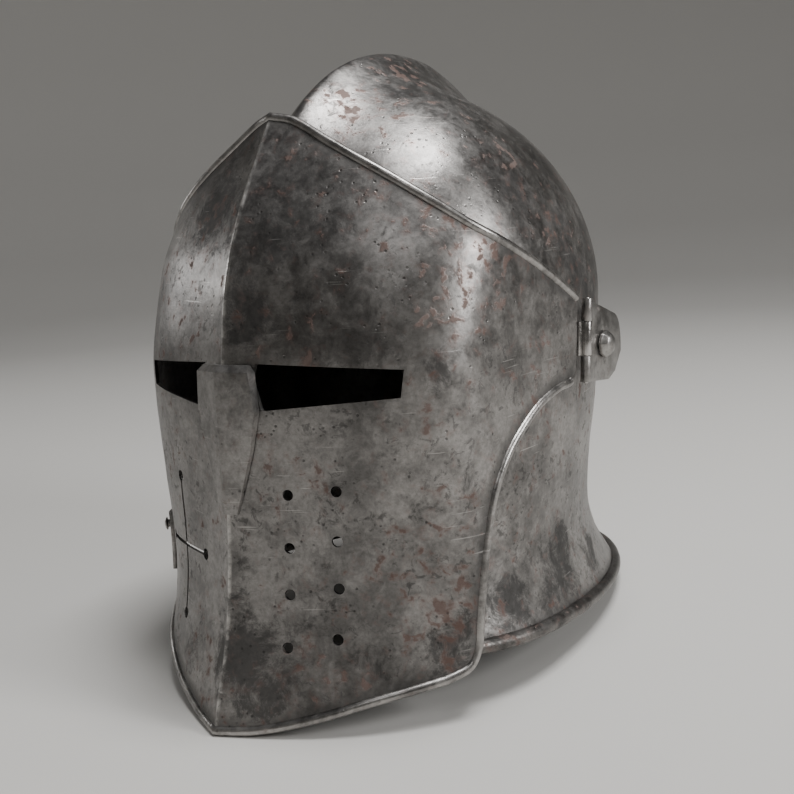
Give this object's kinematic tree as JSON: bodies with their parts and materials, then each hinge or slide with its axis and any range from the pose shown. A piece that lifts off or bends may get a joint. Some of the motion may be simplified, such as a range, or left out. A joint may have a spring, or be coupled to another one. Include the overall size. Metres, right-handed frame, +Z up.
{
  "type": "visored sallet helmet",
  "caption": "Steel helmet with a combed skull, flared neck and a deep visor with sights, breaths and a pierced cross that lifts on two side bolts.",
  "frame": {"origin": "middle of the bounding box's foot, on the surface the helmet stands on", "axes": "+Z up, -Y the way the face looks, +X the wearer's left"},
  "size_m": [0.2246, 0.3218, 0.2996],
  "materials": {
    "plate_steel": "dark worn steel plate with soot and a little rust",
    "fitting_steel": "worn forged steel fittings, bright on the edges"
  },
  "bodies": {
    "helmet_skull": {"skull": "plate_steel", "pivot_bolt_left": "fitting_steel", "pivot_bolt_right": "fitting_steel"},
    "visor_group": {"visor": "plate_steel", "nasal_bridge": "plate_steel", "catch_plate": "fitting_steel", "catch_stud": "fitting_steel", "hinge_leaf_left": "fitting_steel", "hinge_leaf_right": "fitting_steel", "hinge_arm_left": "fitting_steel", "hinge_arm_right": "fitting_steel", "hinge_pin_left": "fitting_steel", "hinge_pin_right": "fitting_steel"}
  },
  "joints": [
    {"name": "visor_lift", "type": "hinge", "parent": "helmet_skull", "child": "visor_group", "pos_m": [0, 0.02204, 0.14785], "axis": [-1, 0, 0], "range_deg": [0, 80]}
  ]
}
